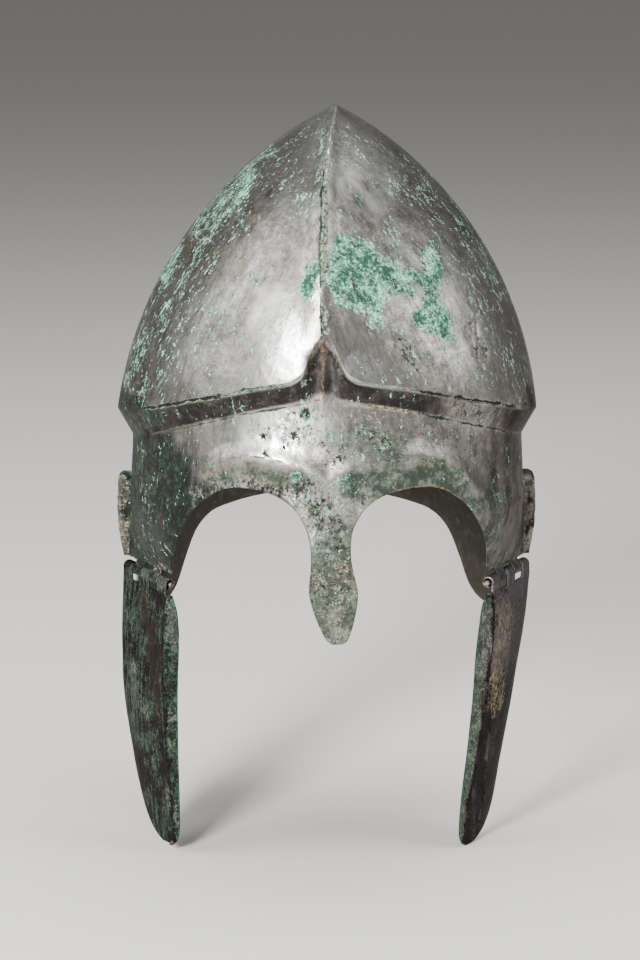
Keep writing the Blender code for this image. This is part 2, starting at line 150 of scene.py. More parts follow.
CROWN_LEAN = 4
DRIFT = table(
    "height aside",
    (-92, 1.4), (-50, -1.6), (-16, -2.8), (20, -5.2), (52, -6.2), (80, -7.5), (110, -7.5),
    (130, -5), (142, -3), (150, 0),
)
DRIFT_SPREAD = 40
DRIFT_START = 25

# The nets of quads are fine enough for the corrosion's relief: about 1.5 mm over the face, 3 mm at the back.
ROOT_COLUMNS = 10
ARCH_COLUMNS = 46
ARCH_CROWDING = 0.6
TEMPLE_COLUMNS = 40
NOTCH_COLUMNS = 12
NECK_COLUMNS = 46
ARCH_START = ROOT_COLUMNS
TEMPLE_START = ARCH_START + ARCH_COLUMNS
NOTCH_START = TEMPLE_START + TEMPLE_COLUMNS
NECK_START = NOTCH_START + NOTCH_COLUMNS
COLUMNS = NECK_START + NECK_COLUMNS
CROWN_ROWS = 84
LEDGE_ROWS = 6
BAND_ROWS = 26
NASAL_ROWS = 44
TEMPLE_ROWS = 26
NECK_ROWS = 36
NOTCH_REAR_ROWS = 28
FLANGE_ROWS = 4
NECK_STEPS = 4
LOOP_STEPS = 16


def read(rows, name, at):
    """The named column of a table where its first column is `at`, on a smooth curve."""
    keys = [row[0] for row in rows]
    values = [getattr(row, name) for row in rows]
    at = min(max(at, keys[0]), keys[-1])
    i = min(bisect_right(keys, at), len(keys) - 1) - 1

    def slope(j):
        before = max(j - 1, 0)
        after = min(j + 1, len(keys) - 1)
        return (values[after] - values[before]) / (keys[after] - keys[before])

    step = keys[i + 1] - keys[i]
    t = (at - keys[i]) / step
    rise = values[i + 1] - values[i]
    start_pull = slope(i) * step - rise
    end_pull = rise - slope(i + 1) * step
    return values[i] + t * rise + t * (1 - t) * ((1 - t) * start_pull + t * end_pull)


def smooth(t):
    """Rises from 0 to 1 as t does, level at both ends."""
    t = min(max(t, 0), 1)
    return t * t * (3 - 2 * t)


def on_ring(ring, angle, height):
    """The point of a plan outline at this angle from the front."""
    reach = ring.front if math.cos(angle) > 0 else ring.back
    return Vector((ring.side * math.sin(angle), -reach * math.cos(angle), height))


def gable(across):
    """How much of the gable's rise the carination has, this far from the middle."""
    return read(GABLE, "part", abs(across))


def carination_point(angle):
    """The sharp edge where the crown overhangs the forehead, with the gable over the nose."""
    point = on_ring(CARINATION, angle, read(LEVELS, "carination", math.degrees(angle)))
    rise = gable(point.x) if point.y < 0 else 0
    point.z += GABLE_RISE * rise
    point.y += GABLE_SET_BACK * rise
    return point


def fold_point(angle):
    """The inner corner under the carination's ledge."""
    return on_ring(FOLD, angle, read(LEVELS, "fold", math.degrees(angle)))


def crown_point(angle, part):
    """The crown's outer face, from the keel's peak (part 0) down to the carination (part 1)."""
    foot = carination_point(angle)
    reach = math.hypot(foot.x, foot.y)
    drop = foot.z - CROWN_RISE
    roof = math.atan(abs(math.sin(angle)) * math.tan(ROOF_SLOPE))
    turn = math.pi / 2 - roof - CREST_LEAN
    handle = math.hypot(reach, drop) / (3 * math.cos(turn / 4) ** 2)
    start = Vector((0, 0))
    end = Vector((reach, drop))
    leaving = start + handle * Vector((math.cos(roof), -math.sin(roof)))
    arriving = end + handle * Vector((-math.sin(CREST_LEAN), math.cos(CREST_LEAN)))
    rest = 1 - part
    along = 3 * rest * rest * part * leaving + 3 * rest * part * part * arriving + part**3 * end
    point = Vector((foot.x / reach * along.x, foot.y / reach * along.x, CROWN_RISE + along.y))
    if point.y < 0:
        pinch = max(0, 1 - abs(point.x) / KEEL_SPREAD) ** 2
        point.y -= KEEL_RISE * pinch * smooth(-point.y / 80)
    return point


def hem_point(column):
    """The forehead band's lower edge: nasal root, eye arch, temple, ear notch and neck, front to back."""
    if column <= ARCH_START:
        across = EYE_ARCH[0].across * column / ROOT_COLUMNS
        return on_ring(BAND, math.asin(across / BAND.side), EYE_ARCH[0].height)
    if column <= TEMPLE_START:
        part = (column - ARCH_START) / ARCH_COLUMNS
        part -= ARCH_CROWDING * math.sin(2 * math.pi * part) / (2 * math.pi)
        across = EYE_ARCH[0].across + part * (EYE_ARCH[-1].across - EYE_ARCH[0].across)
        return on_ring(BAND, math.asin(across / BAND.side), read(EYE_ARCH, "height", across))
    front = math.acos(-NOTCH_FRONT / BAND.back)
    back = math.acos(-NOTCH_BACK / BAND.back)
    if column <= NOTCH_START:
        part = (column - TEMPLE_START) / TEMPLE_COLUMNS
        corner = math.asin(EYE_ARCH[-1].across / BAND.side)
        height = EYE_ARCH[-1].height + part * (NOTCH_SPRING - EYE_ARCH[-1].height)
        return on_ring(BAND, corner + part * (front - corner), height)
    if column <= NECK_START:
        part = (column - NOTCH_START) / NOTCH_COLUMNS
        height = NOTCH_SPRING + NOTCH_RISE * math.sin(math.pi * part)
        return on_ring(BAND, front + (1 - math.cos(math.pi * part)) / 2 * (back - front), height)
    part = (column - NECK_START) / NECK_COLUMNS
    return on_ring(BAND, back + part * (math.pi - back), NOTCH_SPRING + 3 * smooth(part))


def hem_angle(column):
    """The angle from the front at which a column of the net runs up the crown."""
    point = hem_point(column)
    reach = BAND.front if point.y < 0 else BAND.back
    return math.atan2(point.x / BAND.side, -point.y / reach)


def hinge_point(part, height):
    """A point over the hinge's axis, from its front end (part 0) to its rear (part 1)."""
    return HINGE_FRONT.lerp(HINGE_BACK, part) + Vector((0, 0, height))


def temple_point(column, row):
    """The temple, between the band's hem, the hinge, the eye opening and the ear notch."""
    across = column / TEMPLE_COLUMNS
    down = row / TEMPLE_ROWS
    edge_level = HINGE_LEVEL + EDGE_TO_AXIS
    level = EYE_SIDE[0].down + down * (EYE_SIDE[-1].down - EYE_SIDE[0].down)
    eye_side = Vector((read(EYE_SIDE, "across", level), -read(EYE_SIDE, "forward", level), -level))
    front_top = hem_point(TEMPLE_START)
    rear_top = hem_point(NOTCH_START)
    top = hem_point(TEMPLE_START + column)
    bottom = hinge_point(across, edge_level)
    sides = eye_side.lerp(rear_top.lerp(hinge_point(1, edge_level), down), across)
    corners_top = front_top.lerp(rear_top, across)
    corners_bottom = hinge_point(0, edge_level).lerp(hinge_point(1, edge_level), across)
    return top.lerp(bottom, down) + sides - corners_top.lerp(corners_bottom, down)


def neck_point(column, row):
    """The neck guard, from the band down to its flared rim."""
    top = hem_point(NECK_START + column)
    angle = hem_angle(NECK_START + column)
    bottom = on_ring(NECK_RIM, angle, read(NECK_HEM, "height", math.degrees(angle)))
    down = row / NECK_ROWS
    flared = top.lerp(bottom, down * down)
    return Vector((flared.x, flared.y, top.z + down * (bottom.z - top.z)))


def nasal_point(column, row):
    """The nasal, a tongue that narrows, widens and ends in a blunt tip."""
    part = row / NASAL_ROWS
    down = NASAL[0].down + (NASAL[-1].down - NASAL[0].down) * (1 - (1 - part) ** 1.4)
    across = read(NASAL, "half", down) * column / ROOT_COLUMNS
    point = Vector((across, -read(NASAL, "forward", down) + NASAL_BEND * across * across, -down))
    return point.lerp(hem_point(column), 1 - smooth((down - NASAL[0].down) / 5))


def crown_net_point(column, row):
    """The crown's net, its rows closer together toward the carination."""
    return crown_point(hem_angle(column), row / CROWN_ROWS * (1.3 - 0.3 * row / CROWN_ROWS))


def ledge_point(column, row):
    """The ledge under the carination, sunk into a pocket at the gable except along the pocket's ridge."""
    angle = hem_angle(column)
    if row == 0:
        return crown_point(angle, 1)
    part = row / LEDGE_ROWS
    point = carination_point(angle).lerp(fold_point(angle), part)
    aside = min(abs(point.x) / GABLE_RIDGE, 1)
    point.y += GABLE_DEPTH * gable(point.x) * aside * math.sin(math.pi * part) ** 0.8
    return point


def band_point(column, row):
    """The forehead band, from the fold under the ledge down to the hem."""
    return fold_point(hem_angle(column)).lerp(hem_point(column), row / BAND_ROWS)


def flange_point(column, row):
    """The ear notch's flange, up its front edge, over the top and down its rear edge."""
    top = TEMPLE_ROWS + NOTCH_COLUMNS
    if column <= TEMPLE_ROWS:
        root = temple_point(TEMPLE_COLUMNS, TEMPLE_ROWS - column)
    elif column <= top:
        root = hem_point(NOTCH_START + column - TEMPLE_ROWS)
    else:
        root = neck_point(0, column - top)
    chips = 0.9 * noise.noise(root / 4) * smooth(column / 6)
    width = read(EAR_FLANGE, "width", column / (top + NOTCH_REAR_ROWS)) + min(chips, 0.15)
    return root + Vector((row / FLANGE_ROWS * width, 0, 0))


def hinge_frame():
    """The hinge's directions on the left: along it to the rear, and out from the head."""
    along = (HINGE_BACK - HINGE_FRONT).normalized()
    return along, Vector((along.y, -along.x, 0))


def add_net(bm, columns, rows, place):
    """Adds a net of quads whose corner at (column, row) lies at place(column, row)."""
    net = bmesh.ops.create_grid(bm, x_segments=columns, y_segments=rows, size=1.0)
    for vert in net["verts"]:
        column = round((vert.co.x + 1) / 2 * columns)
        row = round((1 - vert.co.y) / 2 * rows)
        vert.co = place(column, row)


def add_loop(bm, knuckle, columns, radius, upward):
    """Adds one knuckle of the hinge: a tongue of the sheet, rolled inward round the axis."""
    outward = hinge_frame()[1]
    turned = 1 if upward else -1
    gap = KNUCKLE_GAP / (HINGE_BACK - HINGE_FRONT).length
    root_out = radius if upward else 0

    def place(column, row):
        across = column / columns
        part = (knuckle + across) / KNUCKLES
        part += gap * (1 - 2 * across) * smooth(row / 2)
        if row < NECK_STEPS:
            down = row / NECK_STEPS
            height = EDGE_TO_AXIS * (1 - down)
            out = root_out + (radius - root_out) * smooth(down)
        else:
            angle = LOOP_TURN * (row - NECK_STEPS) / LOOP_STEPS
            height = -radius * math.sin(angle)
            out = radius * math.cos(angle)
        return hinge_point(part, HINGE_LEVEL - turned * height) + outward * out

    add_net(bm, columns, NECK_STEPS + LOOP_STEPS, place)


def distance_to(point, a, b):
    """The distance from a point to the segment from a to b."""
    along = b - a
    part = min(max((point - a).dot(along) / along.length_squared, 0), 1)
    return (point - a - part * along).length


def brow_height(point):
    """How far the brow ridge raises the sheet at this point. It dies out just above the hinge."""
    if point.z > BROW_WIDTH * 4 or point.y > 0:
        return 0
    mirrored = Vector((abs(point.x), point.y, point.z))
    nearest = min(distance_to(mirrored, a, b) for a, b in zip(BROW, BROW[1:]))
    fade = smooth((point.z - HINGE_LEVEL - EDGE_TO_AXIS) / BROW_FADE)
    return BROW_HEIGHT * fade * math.exp(-((nearest / BROW_WIDTH) ** 2))


def settle(point):
    """A point moved by the crown's lean and the drift of the keel, the gable and the nasal."""
    lean = CROWN_LEAN * max(point.z, 0) / CROWN_RISE
    near = math.exp(-((point.x / DRIFT_SPREAD) ** 2)) * smooth(-point.y / DRIFT_START)
    return Vector((point.x + lean + near * read(DRIFT, "aside", point.z), point.y, point.z))


def join_nets(bm, outside):
    """Joins the nets at their shared edges, and turns their faces to look outside."""
    bmesh.ops.remove_doubles(bm, verts=bm.verts, dist=WELD)
    bmesh.ops.recalc_face_normals(bm, faces=bm.faces)
    furthest = max(bm.faces, key=lambda face: face.calc_center_median().dot(outside))
    if furthest.normal.dot(outside) < 0:
        bmesh.ops.reverse_faces(bm, faces=bm.faces)
    bm.normal_update()


# Corrosion, painted shade and painted highlights in strokes over the front of the helmet, from one spot to
# another.
# Each spot is given by how far it is to the wearer's left and how high, and `percent` is how thick it lies.
Stroke = namedtuple("Stroke", "kind across height to_across to_height half percent")


def strokes(*groups):
    """Strokes in groups of one kind."""
    return [Stroke(kind, *numbers) for kind, *rows in groups for numbers in rows]


SKULL_MARKS = strokes(
    # The big broken crust over the left of the crown, its tail, and the upright one beyond it.
    ("crust", (4, 88, 16, 84, 6, 95), (3, 78, 24, 77, 7, 85), (6, 69, 20, 68, 6, 70),
        (18, 66, 20, 56, 4, 60), (26, 76, 38, 72, 6, 60), (47, 86, 46, 64, 4.5, 70),
        (42, 58, 50, 56, 5, 85), (51, 52, 54, 46, 3, 60)),
    ("cuprite", (8, 76, 13, 68, 2, 70), (28, 75, 30, 73, 1.8, 70), (42, 82, 43, 78, 1.6, 70)),
    # Mint flecks in drifts, on the right and the left of the crown and under its peak.
    ("crust", (-88, 30, -60, 62, 20, 17), (-66, 26, -50, 60, 14, 11), (42, 112, 74, 66, 14, 15),
        (6, 126, 40, 96, 18, 11), (-28, 134, -12, 112, 10, 13), (20, 56, 34, 36, 12, 9),
        (60, 60, 90, 20, 14, 10)),
    # Green along the crown's right shoulder, with yellowed metal beside it.
    ("crust", (-40, 120, -48, 106, 5.5, 36), (-54, 102, -62, 92, 5.5, 32), (-75, 82, -80, 68, 4, 42),
        (-28, 130, -36, 124, 3, 30), (-44, 104, -60, 84, 6, 22), (-39, 79, -34, 74, 1.1, 55),
        (-34, 74, -28, 80, 1.1, 55)),
    ("earth", (-44, 116, -64, 88, 6, 40)),
    # Shade strokes: dark tarnish streaks down the right of the crown, and painted shade darkening the crown's
    # sides, its left edge and the carination's right tip.
    ("shade", (-80, 24, -56, 80, 22, 42), (-30, 114, -50, 84, 7, 44), (-36, 94, -52, 64, 6, 44),
        (-98, 2, -92, 8, 6, 85), (16, 110, 44, 84, 15, 50), (-46, 50, -30, 90, 16, 36),
        (30, 120, 60, 90, 16, 40), (66, 86, 92, 20, 14, 16), (-58, 96, -36, 78, 9, 42),
        (-44, 116, -30, 104, 9, 30)),
    ("brass", (-40, 106, -58, 76, 6, 45), (-32, 80, -40, 66, 5, 38), (-46, 108, -42, 84, 13, 50),
        (-70, 90, -60, 76, 8, 50)),
    ("pit", (-98, 10, -93, 0, 5, 70)),
    # Pale specks along the keel up to the peak.
    ("crust", (0, 146, -3, 118, 5, 20)),
    # A green lump beside the keel, and dark fluff where it meets the gable.
    ("crust", (-10, 81, -11, 72, 3.4, 90)),
    ("earth", (-7, 70, -5, 54, 1.4, 60)),
    # The gable: rust down its ridge, and earth and pale crust in its arms.
    ("earth", (-15.5, 30, -9.5, 42, 1.5, 100), (-9.5, 42, -5, 52, 1.5, 100), (5, 33, 0, 43, 1.5, 90),
        (0, 43, -4, 52, 1.5, 100), (-4, 52, -5, 60, 1.2, 90)),
    ("ochre", (-5, 50, -5, 22, 0.9, 90), (-6, 22, -10, 19, 1.6, 70)),
    ("crust", (-4.5, 39, -4, 36, 1.3, 80), (-15, 31, -14.5, 28, 2, 80)),
    # Painted shade in the pocket under the gable.
    ("shade", (-9, 40, -2, 30, 6, 90)),
    # The tip of the carination on the right, stained green and brown.
    ("green", (-98, 8, -86, 4, 6, 90)),
    ("cuprite", (-94, 6, -88, 4, 4, 55)),
    ("crust", (-98, 16, -80, 14, 5, 16)),
    # The left of the forehead and ledge, mottled and crusted.
    ("crust", (2, 10, 34, 4, 9, 12), (8, 0, 24, -4, 6, 20)),
    ("earth", (2, 8, 36, 0, 9, 42), (40, 6, 76, -2, 8, 34)),
    ("film", (2, 4, 28, -2, 8, 60)),
    ("green", (4, 2, 10, -6, 5, 30)),
    ("pit", (6, 6, 30, -4, 9, 42), (42, 18, 84, 8, 7, 50), (40, 6, 80, -4, 6, 40),
        (46, 34, 84, 26, 8, 30)),
    ("shade", (12, 4, 36, -4, 9, 40)),
    ("ochre", (4, 12, 36, 8, 7, 24), (17, 14, 36, 11, 2.4, 50)),
    ("cuprite", (40, 12, 76, 0, 12, 34), (20, -2, 34, -8, 6, 40)),
    # Pits on the bright forehead, one of them large.
    ("pit", (-32.5, 4.2, -31.5, 1.8, 1.7, 100), (-31, -4.2, -30.6, -4.8, 1.2, 90),
        (-24, 8, -2, -4, 10, 45), (-18.4, 6, -17.6, 4.2, 1.6, 90), (-22.2, -1.6, -21.8, -2.4, 1, 90),
        (-9.8, -4.2, -9.2, -4.8, 1.2, 90), (0.8, 8.4, 1.4, 7.8, 1, 80), (-12, 4.5, -11.8, 4.4, 1.5, 80),
        (-20, -14, -14, -20, 4, 45), (-26, 12, 6, 8, 8, 30)),
    ("earth", (-32.3, 3.6, -31.8, 2.2, 1.2, 90), (-22, 10, -6, -6, 9, 50)),
    ("green", (-14, 14.6, -12, 13.4, 2.2, 80)),
    ("crust", (-14, 14, 2, 6, 6, 20), (-17.5, -15.5, -16, -17.5, 1.8, 90), (-60, 4, -30, 8, 8, 10)),
    ("ochre", (44, -11, 45, -11, 1.6, 90)),
    # Clusters of blue-grey pits low on the left of the crown.
    ("pit", (66, 48, 72, 36, 4.5, 66), (28, 47, 32, 46, 3, 60), (32, 44, 40, 34, 3, 56),
        (40, 60, 90, 24, 22, 16)),
    # The yellowed groove over the right eye, and the arches' edges, pitted and mottled grey and green.
    ("brass", (-60, -17, -40, -10, 3, 60), (-40, -10, -20, -14, 3, 60)),
    # Painted shade along the groove over the right eye, and dark mottling, partly painted shade, over the
    # arches' edges.
    ("shade", (-60, -17, -40, -11, 4, 40), (-40, -11, -18, -16, 4, 40), (-30, -22, -12, -26, 6, 45),
        (12, -20, 48, -14, 8, 40), (48, -14, 66, -32, 6, 55)),
    ("earth", (-64, -28, -46, -15, 5, 56), (-46, -15, -14, -20, 5, 66), (10, -22, 42, -16, 6, 50),
        (42, -16, 64, -28, 5, 44)),
    ("pit", (-60, -24, -14, -20, 6, 60), (12, -22, 56, -22, 7, 40)),
    ("film", (-64, -28, -46, -14, 3.5, 85), (-46, -14, -14, -17, 3, 85), (-14, -18, 8, -22, 6, 35),
        (10, -20, 50, -15, 7, 95), (50, -16, 68, -34, 6, 80)),
    ("green", (-68, -44, -58, -26, 5, 80)),
    ("cuprite", (8, -24, 16, -28, 5, 50)),
    # Rough grey and green over the nasal's root and the nasal.
    ("earth", (-16, -22, 10, -28, 9, 52), (-4, -34, -3, -66, 11, 46), (-3, -62, 0, -84, 14, 72)),
    ("crust", (-14, -20, 10, -26, 8, 22), (-4, -36, -3, -82, 9, 17)),
    ("pit", (-4, -30, -3, -72, 11, 50)),
    ("brass", (-3, -54, 0, -86, 13, 35)),
    ("film", (-2, -58, 0, -86, 14, 110), (-6, -48, -6, -66, 6, 70), (6, -40, 8, -70, 3, 80)),
    ("cuprite", (5, -40, 6, -74, 3, 40)),
    # Dark green streaks down the right temple, a little green and red on the left one.
    ("green", (-99, -14, -92, -78, 12, 85), (-80, -22, -78, -78, 17, 95), (80, -50, 80, -70, 5, 40)),
    ("earth", (-84, -74, -76, -88, 5, 60), (-90, -16, -88, -40, 4, 40)),
    ("cuprite", (-84, -20, -80, -60, 4, 50), (-90, -20, -84, -70, 5, 38), (92, -24, 92, -74, 7, 42)),
    ("crust", (-90, -30, -86, -66, 7, 9)),
    # Painted shade darkening both temples, the carination's tips, the nasal and the left of the forehead.
    ("shade", (-92, 0, -62, -20, 13, 42), (-92, -16, -80, -78, 26, 90), (14, 2, 48, -8, 12, 42),
        (92, -20, 78, -78, 26, 62), (-100, 6, -94, -4, 8, 80), (100, 6, 94, -4, 8, 70),
        (-6, -46, -3, -82, 16, 50)),
    ("pit", (-96, -20, -90, -76, 8, 50)),
    ("film", (76, -30, 84, -78, 6, 55)),
    # The ear flanges: pale green on the right, red-brown on the left.
    ("earth", (-104, -36, -103, -78, 4, 90)),
    ("crust", (-104, -36, -103, -60, 3.4, 20)),
    ("cuprite", (104, -36, 103, -80, 4, 62)),
    # Painted highlights: lighter, smoother metal where the lamps' reflections fall on the crown and the
    # forehead.
    ("painted_highlight", (-26, 60, -20, 40, 12, 90), (2, 134, 22, 118, 12, 80), (-34, 3, -10, 4, 12, 70),
        (10, 38, 18, 36, 5, 80)),
    # Painted shade that dims the lamp's reflection on the right of the forehead.
    ("shade", (-50, 4, -38, 3, 9, 34)),
)
KINDS = ("crust", "earth", "cuprite", "ochre", "pit", "green", "film", "shade", "painted_highlight", "brass")


# Corrosion along a line of the helmet, from one place across to another. `away` is how far the middle of the
# seam lies up or out from the line, and `half` is its half width.
SEAM = "line start end away half light dark rough height"
SKULL_SEAMS = table(
    SEAM,
    ("keel", -10, 10, 0.3, 1.6, "#7f8c78", "#2e3932", 0.85, 0.35),
    ("keel", -10, 10, -0.9, 0.5, "#28332d", "#131816", 0.85, -0.2),
    ("carination", -88, -12, -0.9, 0.35, "#6f7863", "#2c362e", 0.85, 0.25),
    ("carination", -92, -64, -0.2, 0.6, "#8da38e", "#2f4538", 0.85, 0.2),
    ("carination", -94, -26, 0.3, 0.7, "#1c1a18", "#0f0e0d", 0.8, -0.5),
    ("carination", -56, -12, 0.3, 0.4, "#5d8571", "#213a2e", 0.8, 0.25),
    ("carination", 6, 42, 0.2, 0.7, "#809880", "#294637", 0.85, 0.3),
    ("carination", 36, 92, 0.1, 0.8, "#1d1b19", "#100f0e", 0.8, -0.5),
    ("carination", 38, 96, -1, 0.4, "#616e5d", "#1f3029", 0.85, 0.25),
    ("fold", -88, -12, -0.4, 0.4, "#3f4135", "#20261f", 0.85, 0.12),
    ("fold", 10, 40, 0.3, 0.5, "#8d8060", "#423829", 0.85, 0.2),
    ("fold", 38, 90, 0, 0.6, "#2b3a31", "#141917", 0.8, -0.2),
    ("brow", -64, -12, 0.8, 0.4, "#69795f", "#2f4538", 0.85, 0.1),
    ("brow", 12, 70, -1.4, 0.6, "#5e705c", "#26362d", 0.85, 0.12),
    ("hem", 5, 62, 0.1, 0.4, "#7b7056", "#44392a", 0.85, 0),
)
LINES = ("carination", "fold", "keel", "brow")
HEM_REACH = 12
OFF_LINE = 99
ANYWHERE = 999
MARKS_END = 34
MARKS_FADE = 24
BEHIND_FADE = 30


def plan_angle(point):
    """The angle from the front, on either side, at which a point of the unbent sheet lies."""
    reach = CARINATION.front if point.y < 0 else CARINATION.back
    return math.atan2(abs(point.x) / CARINATION.side, -point.y / reach)


def line_distances(point):
    """How far a point of the unbent sheet lies from each of the lines."""
    angle = plan_angle(point)
    mirrored = Vector((abs(point.x), point.y, point.z))
    foot = carination_point(angle)
    from_foot = math.copysign((mirrored - foot).length, point.z - foot.z)
    from_keel = OFF_LINE
    if point.y < -5 and point.z > foot.z + 1:
        from_keel = math.copysign(abs(point.x) + 0.05 * max(point.z - 112, 0), point.x)
    near_brow = OFF_LINE
    if point.z < 12 and point.y < 0:
        legs = [(distance_to(mirrored, a, b), (a.z + b.z) / 2) for a, b in zip(BROW, BROW[1:])]
        near_brow, crest = min(legs)
        near_brow = math.copysign(near_brow, point.z - crest)
    return from_foot, point.z - fold_point(angle).z, from_keel, near_brow


def on_ledge(point):
    """Whether a point of the unbent sheet lies on the ledge, which faces down and is darkened with painted
    shading.
    """
    angle = plan_angle(point)
    return fold_point(angle).z + 0.4 < point.z < carination_point(angle).z - 0.4


def hem_distances(bm):
    """How far each vertex lies from the sheet's edge, as far as the reach."""
    edge = [vert for vert in bm.verts if vert.is_boundary]
    tree = KDTree(len(edge))
    for index, vert in enumerate(edge):
        tree.insert(vert.co, index)
    tree.balance()
    return np.array([min(tree.find(vert.co)[2], HEM_REACH) for vert in bm.verts])


# The vector noise below is seeded, so that the corrosion lies the same in every run.
noise.seed_set(4)


def wandering(points, size, reach):
    """How far each point is pushed aside by noise of this size, up to about reach."""
    return reach * np.array([noise.noise_vector(Vector(point) / size) for point in points])


def speckle(points, size, seed):
    """Noise of this size at each point, from about 0 to 1, different for each seed."""
    shift = Vector((seed * 17.3, seed * 5.1, seed * 9.7))
    return np.array([0.5 + 0.7 * noise.noise(Vector(point) / size + shift) for point in points])


def marked(points, marks):
    """For each kind of corrosion, how strongly the strokes lay it on each point."""
    moved = points + wandering(points, 9, 2.4) + wandering(points, 3.5, 1)
    fields = {kind: np.zeros(len(points)) for kind in KINDS}
    reach_back = MARKS_END - 0.35 * np.maximum(moved[:, 2] - 60, 0)
    in_front = np.clip((reach_back - moved[:, 1]) / MARKS_FADE, 0, 1)
    for mark in marks:
        start = np.array((mark.across, mark.height))
        along = np.array((mark.to_across, mark.to_height)) - start
        offset = moved[:, [0, 2]] - start
        part = np.clip(offset @ along / max(along @ along, 0.01), 0, 1)
        away = np.linalg.norm(offset - part[:, None] * along, axis=1)
        strength = mark.percent / 100 * in_front * np.clip(1.5 * (1 - away / (1.6 * mark.half)), 0, 1)
        fields[mark.kind] = np.maximum(fields[mark.kind], strength)
    return fields


def grown(points, size, spread, amount, seed):
    """Patches of corrosion that come up all over, this large and this rare."""
    coarse = speckle(points, size, seed)
    fine = speckle(points, size / 3.5, seed + 3)
    return amount * np.clip((0.7 * coarse + 0.3 * fine - 1 + spread) / 0.12, 0, 1)


def lay(fields, kind, values):
    """Adds corrosion of one kind, wherever it is stronger than what is there."""
    fields[kind] = np.maximum(fields[kind], values)


def keep_fields(bm, fields, flow):
    """Stores the corrosion, the lines and the hammer's direction for the material."""
    for kind, values in fields.items():
        layer = bm.verts.layers.float.new(kind)
        for vert, value in zip(bm.verts, values):
            vert[layer] = value
    layer = bm.verts.layers.float_vector.new("flow")
    for vert, value in zip(bm.verts, flow):
        vert[layer] = value


def relief(points, fields):
    """How far the surface stands out: hammer marks, crusts that stand proud, and pits."""
    hammered = 0.16 * (speckle(points, 15, 1) - 0.5) + 0.07 * (speckle(points, 6, 2) - 0.5)
    lumps = speckle(points, 2.6, 4)
    crust = np.clip((fields["crust"] + 0.35 * (lumps - 0.5) - 0.35) / 0.3, 0, 1)
    pitted = np.clip((fields["pit"] + 0.35 * (lumps - 0.5) - 0.4) / 0.3, 0, 1)
    return hammered + crust * (0.2 + 0.45 * lumps) - 0.45 * pitted


def new_object(name, data):
    """An object in the scene with this mesh, light or camera."""
    obj = bpy.data.objects.new(name, data)
    bpy.context.scene.collection.objects.link(obj)
    return obj


def new_mesh(bm, name, materials):
    """A mesh made of the bmesh, which is freed."""
    mesh = bpy.data.meshes.new(name)
    bm.to_mesh(mesh)
    bm.free()
    for material in materials:
        mesh.materials.append(material)
    return mesh


def new_piece(bm, name, wall_materials):
    """Turns a sheet in millimetres into a walled piece in metres, in the model's own frame."""
    bmesh.ops.scale(bm, verts=bm.verts, vec=(MM, MM, MM))
    bmesh.ops.translate(bm, verts=bm.verts, vec=(0, 0, -INSIDE_TOP * MM))
    mesh = new_mesh(bm, name, wall_materials)
    mesh.shade_smooth()
    obj = new_object(name, mesh)
    wall = obj.modifiers.new("Sheet", "SOLIDIFY")
    wall.thickness = SHEET * MM
    wall.offset = -1
    wall.material_offset = 1
    return obj


def linear(colour):
    """An sRGB hex colour as the linear one that a shader takes."""
    parts = [int(colour[i : i + 2], 16) / 255 for i in (1, 3, 5)]
    return tuple(p / 12.92 if p <= 0.04045 else ((p + 0.055) / 1.055) ** 2.4 for p in parts) + (1,)


def feed(tree, node, inputs):
    """Sets a node's inputs. Each is a value, or the output socket that feeds it."""
    for name, value in inputs.items():
        if isinstance(value, bpy.types.NodeSocket):
            tree.links.new(value, node.inputs[name])
        else:
            node.inputs[name].default_value = value


def add(tree, kind, inputs, **settings):
    """Adds a node with its settings and inputs."""
    made = tree.nodes.new("ShaderNode" + kind)
    for name, value in settings.items():
        setattr(made, name, value)
    feed(tree, made, inputs)
    return made


def new_material(name):
    """A material with its tree of nodes and its shader."""
    material = bpy.data.materials.new(name)
    material.use_nodes = True
    return material, material.node_tree, material.node_tree.nodes["Principled BSDF"]


def node_makers(tree):
    """Short ways to add a tree's nodes: noise, a ramp, one step of arithmetic and a mix of colours."""

    def cloud(vector, scale, detail, rough=0.5):
        settings = {"Vector": vector, "Scale": scale, "Detail": detail, "Roughness": rough}
        return add(tree, "TexNoise", settings).outputs["Fac"]

    def ramp(value, low, high, start=0, end=1, curve="SMOOTHSTEP"):
        levels = {"Value": value, "From Min": low, "From Max": high, "To Min": start, "To Max": end}
        return add(tree, "MapRange", levels, interpolation_type=curve).outputs[0]

    def combine(operation, a, b=0, c=0):
        return add(tree, "Math", {0: a, 1: b, 2: c}, operation=operation).outputs[0]

    def blend(factor, a, b):
        a, b = (linear(end) if isinstance(end, str) else end for end in (a, b))
        return add(tree, "Mix", {0: factor, 6: a, 7: b}, data_type="RGBA").outputs[2]

    return cloud, ramp, combine, blend


